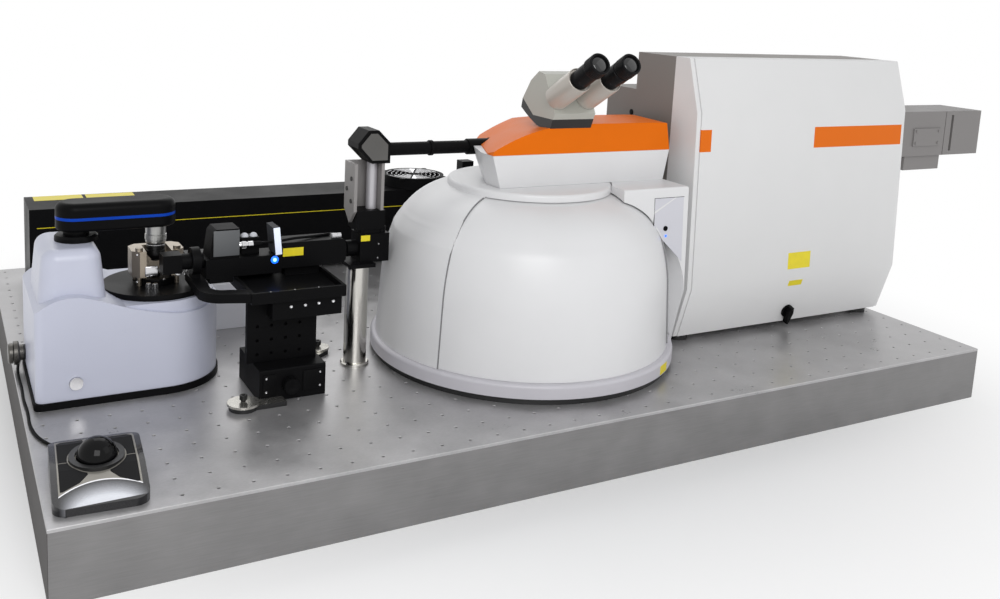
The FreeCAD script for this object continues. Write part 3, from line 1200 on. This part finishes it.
def build_spectrometer():
    left = float(d.spectrometer_left)
    right = left + float(d.spectrometer_width)
    wall, panel = float(d.chassis_wall), float(d.side_panel)
    back, rear = float(d.tall_back), float(d.rear_back)
    low, high = float(d.front_bottom_z), float(d.front_top_z)
    base = float(top)
    block = side_solid(side_profile(0), back, low, high, left, right)
    depth = float(d.cover_wall + d.cover_rest_gap - d.cover_proud)
    outline = side_profile(0)
    outline = [(outline[0][0], high + 1)] + outline[1:-1] + [(outline[-1][0], low - 1)]
    band = [(y - 60, z) for y, z in outline] + [(y + depth, z) for y, z in outline[::-1]]
    corners = [vec(left + panel, y, base + z) for y, z in band]
    recess = Part.Face(Part.makePolygon(corners + corners[:1]))
    recess = recess.extrude(vec(right - left - 2 * panel, 0, 0))
    inner = side_solid(side_profile(depth + 14), back - wall, low + wall + depth + 14,
                       high - wall, left + panel, right - panel)
    opening = Part.makeBox(right - left - 2 * panel, 220, high - low - 110,
                           vec(left + panel, float(d.front_sill_y) - 40, base + low + 70))
    box = block.cut([recess, inner])
    box = box.cut(opening.common(side_solid([(y - 60, z) for y, z in side_profile(0)],
                                            back - wall, low + wall, high - wall - 20,
                                            left + panel, right - panel)))
    bench = Part.makeBox(right - left - 2 * panel, back - wall - float(d.front_sill_y) - 40,
                         float(d.bench_thickness),
                         vec(left + panel, float(d.front_sill_y) + 40,
                             base + d.bench_height.value))
    rear_box = Part.makeBox(right - left, rear - back, float(d.rear_height) - low,
                            vec(left, back, base + low))
    rear_void = Part.makeBox(right - left - 2 * wall, rear - back - wall - 1,
                             float(d.rear_height) - low - 2 * wall,
                             vec(left + wall, back + 1, base + low + wall))
    pin = Part.makeCylinder(float(d.grating_pin_radius), 40,
                            vec(d.grating_x, d.grating_y,
                                base + float(d.bench_height + d.bench_thickness)))
    feet = []
    for fx in (left + 36, right - 36):
        for fy in (float(d.front_bottom_y) + 30, rear - 30):
            feet.append(Part.makeCylinder(float(d.foot_pad_radius), low,
                                          vec(fx, fy, base)))
    chassis = box.fuse([bench, rear_box.cut(rear_void), pin] + feet).removeSplitter()
    node(coded("chassis_shape", chassis), "spectrometer_chassis")
    build_cover(left, right)
    grating = turned("grating_drum", [
        (d.grating_pin_radius + d.shaft_fit, 0), (d.grating_radius, 0),
        (d.grating_radius, 6), (14, 6), (14, d.grating_height),
        (d.grating_pin_radius + d.shaft_fit, d.grating_height)], d.grating_x, d.grating_y,
        top + d.bench_height + d.bench_thickness + d.seat_gap)
    plates = [slab(f"grating_{i}", (d.grating_x + x0, d.grating_x + x1),
                   (d.grating_y + y0, d.grating_y + y1),
                   (top + d.bench_height + d.bench_thickness + 6,
                    top + d.bench_height + d.bench_thickness + 50))
              for i, (x0, x1, y0, y1) in enumerate([(-22, 22, 26, 34), (-22, 22, -34, -26)])]
    node(fuse("grating_parts", [grating] + plates), "grating_turret")


def build_cover(left, right):
    """Folded front cover with its stiffening returns, and the quarter-turn latch in it."""
    panel, gap = float(d.side_panel), float(d.seat_gap)
    wall, proud = float(d.cover_wall), float(d.cover_proud)
    outer = side_profile(0, proud)
    inner = [(y + wall, z) for y, z in outer]
    base = float(top)
    points = [vec(left + panel + gap, y, base + z) for y, z in outer + inner[::-1]]
    face = Part.Face(Part.makePolygon(points + points[:1]))
    cover = face.extrude(vec(right - left - 2 * (panel + gap), 0, 0))
    slope = vec(0, float(d.front_bottom_y - d.front_sill_y),
                float(d.front_bottom_z - d.front_sill_z)).normalize()
    outward = vec(0, slope.z, -slope.y)
    reach = (float(d.front_sill_z) - float(d.latch_height)) / -slope.z
    seat = vec(float(d.latch_x), float(d.front_sill_y) - proud, base
               + float(d.front_sill_z)) + slope * reach
    pin_radius = float(d.latch_pin_radius)
    hole = Part.makeCylinder(pin_radius + float(d.latch_fit), 30, seat + outward * 10,
                             outward * -1)
    node(coded("cover_panel_shape", cover.cut(hole)), "spectrometer_cover")
    base_disc = Part.makeCylinder(float(d.latch_radius), 4, seat + outward * gap, outward)
    half_wing, lever = float(d.latch_wing) / 2, float(d.latch_lever)
    over = float(d.latch_radius) * 0.95
    outline = [vec(-half_wing, over, 0), vec(-half_wing - 3, 0, 0),
               vec(-half_wing + 2, -lever, 0), vec(half_wing - 2, -lever, 0),
               vec(half_wing + 3, 0, 0), vec(half_wing, over, 0)]
    wing = Part.Face(Part.makePolygon(outline + outline[:1]))
    wing = wing.extrude(vec(0, 0, d.latch_depth))
    wing.Placement = FreeCAD.Placement(seat + outward * 3, FreeCAD.Rotation(
        vec(0, 0, 1), outward)).multiply(wing.Placement)
    pin = Part.makeCylinder(pin_radius, 1 + wall * 0.9, seat + outward, outward * -1)
    latch = base_disc.fuse([wing, pin]).removeSplitter()
    node(coded("latch_shape", latch), "cover_latch")
    print("latch seat", [round(value, 2) for value in seat], "outward",
          [round(value, 4) for value in outward])


def build_detector():
    left = d.spectrometer_left + d.spectrometer_width
    front, back = d.detector_front, d.detector_front + d.detector_depth
    low, high = top + d.detector_low, top + d.detector_top
    seam = left + d.detector_block
    block = slab("detector_block_box", (left, seam), (front, back), (low, high))
    neck = slab("detector_neck", (seam, seam + d.detector_groove), (front + 3, back - 3),
                (low + 3, high - 3))
    head = slab("detector_head_box", (seam + d.detector_groove, seam + d.detector_groove
                                      + d.detector_head), (front, back), (low, high))
    slot = slab("detector_slot", (seam + 22, seam + 30), (front - 1, front + 12),
                (low + 10, high - 10))
    lower = slab("detector_lower", (left + d.detector_box_left, seam), (front + 6, back),
                 (top + d.detector_box_low, low))
    plate = slab("detector_plate", (left + 66, seam - 16), (front - 3, front),
                 (low + 24, low + 66))
    screws = [rod(f"detector_screw_{i}{j}", 3, left + 74 + 78 * i, front - 5, low + 31
                  + 28 * j, 4, "y") for i in range(2) for j in range(2)]
    head_cut = cut("slotted_head", head, [slot])
    node(fuse("detector_parts", [block, neck, head_cut, lower, plate] + screws),
         "detector_body")


def build_laser():
    front, back = d.laser_front, d.laser_front + d.laser_depth
    low, high = top + d.laser_bottom, top + d.laser_top
    w = d.laser_wall
    outer = slab("laser_outer", (d.laser_left, d.laser_right), (front, back), (low, high))
    inner = slab("laser_inner", (d.laser_left + w, d.laser_right - w),
                 (front + w, back - w), (low + w, high - w))
    shell = cut("laser_shell", outer, [inner])
    feet = [rod(f"laser_foot_{i}{j}", d.laser_foot_radius, x, y, top, d.laser_bottom)
            for i, x in enumerate((d.laser_left + 30, d.laser_right - 30))
            for j, y in enumerate((front + 25, back - 25))]
    shutter_right = d.laser_right - d.shutter_inset
    shutter = slab("shutter_block", (shutter_right - d.shutter_box, shutter_right),
                   (back - 90, back - 90 + d.shutter_box), (high, high + 58))
    node(fuse("laser_parts", [shell, shutter] + feet), "laser_housing")
    build_fan(float(high))


def build_fan(seat):
    """Axial fan lying on the laser: a ring frame with spokes, and its rotor."""
    x, y = float(d.fan_x), float(d.fan_y)
    height, bar_width = float(d.fan_height), float(d.guard_bar)
    outer = Part.makeCylinder(float(d.fan_radius), height, vec(x, y, seat))
    frame = outer.cut(Part.makeCylinder(float(d.fan_bore), height, vec(x, y, seat)))
    lugs = []
    for turn in range(4):
        angle = math.radians(45 + 90 * turn)
        reach = float(d.fan_radius) + 3
        lugs.append(Part.makeCylinder(7, 5, vec(x + reach * math.cos(angle),
                                                y + reach * math.sin(angle),
                                                seat + height - 5)))
    bars = []
    for turn in range(3):
        bar = Part.makeBox(2 * float(d.fan_bore) + 4, bar_width, bar_width)
        bar.translate(vec(-float(d.fan_bore) - 2, -bar_width / 2, 0))
        bar.rotate(vec(0, 0, 0), vec(0, 0, 1), 60 * turn)
        bar.translate(vec(x, y, seat + height - bar_width))
        bars.append(bar)
        strut = bar.copy()
        strut.translate(vec(0, 0, -height + bar_width))
        bars.append(strut)
    motor = Part.makeCylinder(20, 8, vec(x, y, seat))
    shaft = Part.makeCylinder(float(d.fan_shaft_radius), height - 8, vec(x, y, seat + 4))
    guard = frame.fuse(lugs + bars + [motor, shaft]).removeSplitter()
    node(coded("fan_guard_shape", guard), "fan_guard")
    low, high = seat + 9, seat + height - 7
    bore = float(d.fan_shaft_radius + d.fan_shaft_fit)
    hub = Part.makeCylinder(float(d.fan_hub_radius), high - low, vec(0, 0, 0))
    blades = []
    for i in range(int(float(d.fan_blades))):
        blade = Part.makeBox(float(d.fan_bore) - 3 - float(d.fan_hub_radius) + 4, 2,
                             high - low - 2)
        blade.translate(vec(float(d.fan_hub_radius) - 4, -1, -(high - low - 2) / 2))
        blade.rotate(vec(0, 0, 0), vec(1, 0, 0), float(d.fan_blade_pitch))
        blade.translate(vec(0, 0, (high - low) / 2))
        blade.rotate(vec(0, 0, 0), vec(0, 0, 1), 360 * i / float(d.fan_blades))
        blades.append(blade)
    rotor = hub.fuse(blades).removeSplitter().cut(Part.makeCylinder(bore, high - low))
    rotor.translate(vec(x, y, low))
    node(coded("fan_rotor_shape", rotor), "fan_rotor")


def pad_solid(lower):
    """Wedge of the trackball's case, lowered by a distance, with round corners in plan."""
    x, y, base = float(d.ball_pad_x), float(d.ball_pad_y), float(top)
    half, depth = float(d.pad_width) / 2, float(d.pad_depth)
    front, brow, back = (float(d.pad_front_height), float(d.pad_brow_height),
                         float(d.pad_back_height))
    profile = [vec(0, y, base), vec(0, y, base + front - lower),
               vec(0, y + depth * 0.42, base + brow - lower),
               vec(0, y + depth * 0.82, base + back - lower),
               vec(0, y + depth, base + back - 8 - lower), vec(0, y + depth, base)]
    wedge = Part.Face(Part.makePolygon(profile + profile[:1])).extrude(vec(2 * half, 0, 0))
    wedge.translate(vec(x - half, 0, 0))
    section = rounded_section(x - half, x + half, y, y + depth, float(d.pad_corner), base)
    plan = Part.Face(section).extrude(vec(0, 0, 80))
    return wedge.common(plan)


def key_outline(side, rear, grow):
    """Plan of one key of the trackball, grown all round by its gap."""
    x, y = float(d.ball_pad_x), float(d.ball_pad_y)
    outer, middle = float(d.key_outer) + grow, float(d.key_middle)
    if rear:
        back, inner = float(d.key_back) + grow, float(d.key_back_inner) - grow
        low = middle + 1 - grow
        points = [(outer, low), (outer, back - 10), (outer - 6, back), (inner, back),
                  (inner, low)]
    else:
        front, inner = float(d.key_front) - grow, float(d.key_front_inner) - grow
        high = middle - 1 + grow
        points = [(outer, front), (outer, high), (inner, high), (inner, front + 27),
                  (inner + 11, front + 13), (outer - 4, front)]
    return [(x + side * u, y + v) for u, v in points]


def build_trackball():
    x, base = float(d.ball_pad_x), float(top)
    y = float(d.ball_pad_y)
    ball_y, ball_z = y + float(d.ball_forward), base + float(d.ball_lift)
    slope = math.degrees(math.atan2(float(d.pad_back_height - d.pad_brow_height),
                                    float(d.pad_depth) * 0.4))
    share = float(d.ball_forward) - float(d.pad_depth) * 0.42
    surface = base + float(d.pad_brow_height) + share * math.tan(math.radians(slope))

    def set_down(shape, name):
        shape.rotate(vec(x, ball_y, 0), vec(0, 0, 1), float(d.pad_turn))
        node(coded(name + "_shape", shape), name)

    def annulus(inner, outer, height):
        ring = Part.makeCylinder(outer, height).cut(Part.makeCylinder(inner, height))
        ring.rotate(vec(0, 0, 0), vec(1, 0, 0), slope)
        ring.translate(vec(x, ball_y, surface - 2))
        return ring

    gap = float(d.ring_gap)
    groove = annulus(float(d.ring_inner) - gap, float(d.ring_outer) + gap, 20)
    ring = annulus(float(d.ring_inner), float(d.ring_outer), float(d.ring_thickness))
    ring.translate(vec(0, 0, gap))
    set_down(ring, "trackball_ring")
    thickness, travel = float(d.key_thickness), float(d.key_travel)
    clear = float(d.key_gap)
    cutters = [Part.makeSphere(float(d.ball_radius + d.ball_gap), vec(x, ball_y, ball_z)),
               groove]
    floor_gap = 0.3
    round_keep = float(d.ring_outer) + gap + 2
    skin = pad_solid(0).cut(pad_solid(thickness))
    for name, side, rear in (("rear_left_key", -1, True), ("rear_right_key", 1, True),
                             ("front_left_key", -1, False), ("front_right_key", 1, False)):
        area = prism(key_outline(side, rear, 0), base, base + 80)
        around = Part.makeCylinder(round_keep, 80, vec(x, ball_y, base))
        set_down(skin.common(area).cut(around), name)
        well = prism(key_outline(side, rear, clear), base, base + 80)
        keep = Part.makeCylinder(round_keep - clear, 80, vec(x, ball_y, base))
        cutters.append(well.cut(pad_solid(thickness + travel + floor_gap)).cut(keep))
    set_down(pad_solid(0).cut(cutters), "trackball_case")
    set_down(Part.makeSphere(float(d.ball_radius), vec(x, ball_y, ball_z)),
             "trackball_ball")
    tilt = math.radians(slope)
    lean = FreeCAD.Rotation(vec(0, 0, 1), float(d.pad_turn)).multVec(
        vec(0, -math.sin(tilt), math.cos(tilt)))
    print("ring axis through", [round(value, 3) for value in (x, ball_y, surface)],
          "along", [round(value, 5) for value in lean])


def build_cord():
    """Lead of the trackball: across the table's left margin to a coil behind the tower."""
    base = float(top) + float(d.cord_radius) + 0.2
    route = [(-884, -428.2), (-883, -412), (-891, -390), (-905, -366), (-915, -334),
             (-919, -294), (-917, -244), (-920, -192), (-918, -140), (-920, -88),
             (-918, -38), (-912, 8), (-896, 46), (-868, 66), (-841, 62.0)]
    points = [vec(x, y, base) for x, y in route]
    tube = routed_tube(points, float(d.cord_radius))
    print("cord run length", round(tube.Volume / (math.pi * float(d.cord_radius) ** 2), 1))
    node(coded("cord_shape", tube), "trackball_cord")
    outer = float(d.coil_radius + d.coil_band / 2)
    inner = float(d.coil_radius - d.coil_band / 2)
    coil = Part.makeCylinder(outer, float(d.coil_height),
                             vec(d.coil_x, d.coil_y, top)).cut(
        Part.makeCylinder(inner, float(d.coil_height), vec(d.coil_x, d.coil_y, top)))
    node(coded("coil_shape", coil), "trackball_cord_coil")
    plug_left = d.coil_x + d.plug_right_of_coil
    plug_y = d.coil_y - d.plug_before_coil
    plug = slab("plug_block_body", (plug_left, plug_left + d.plug_length),
                (plug_y - d.plug_width / 2, plug_y + d.plug_width / 2),
                (top, top + d.plug_height))
    node(plug, "trackball_plug")


build_table()
build_afm()
build_stage()
build_side_objective()
build_coupler()
build_beam_box()
build_periscope()
build_controller()
build_enclosure()
build_microscope()
build_head()
build_spectrometer()
build_detector()
build_laser()
build_trackball()
build_cord()

doc.recompute()
failed = [thing.Name for thing in doc.Objects
          if "Invalid" in thing.State or "Error" in thing.State]
failed += [thing.Label for thing in nodes
           if thing.Shape.isNull() or not thing.Shape.isValid()]
if failed:
    raise SystemExit("not built: " + ", ".join(failed))
os.makedirs("parts", exist_ok=True)
for thing in nodes:
    thing.Shape.exportStep(f"parts/{thing.Label}.step")
print(len(nodes), "nodes written")
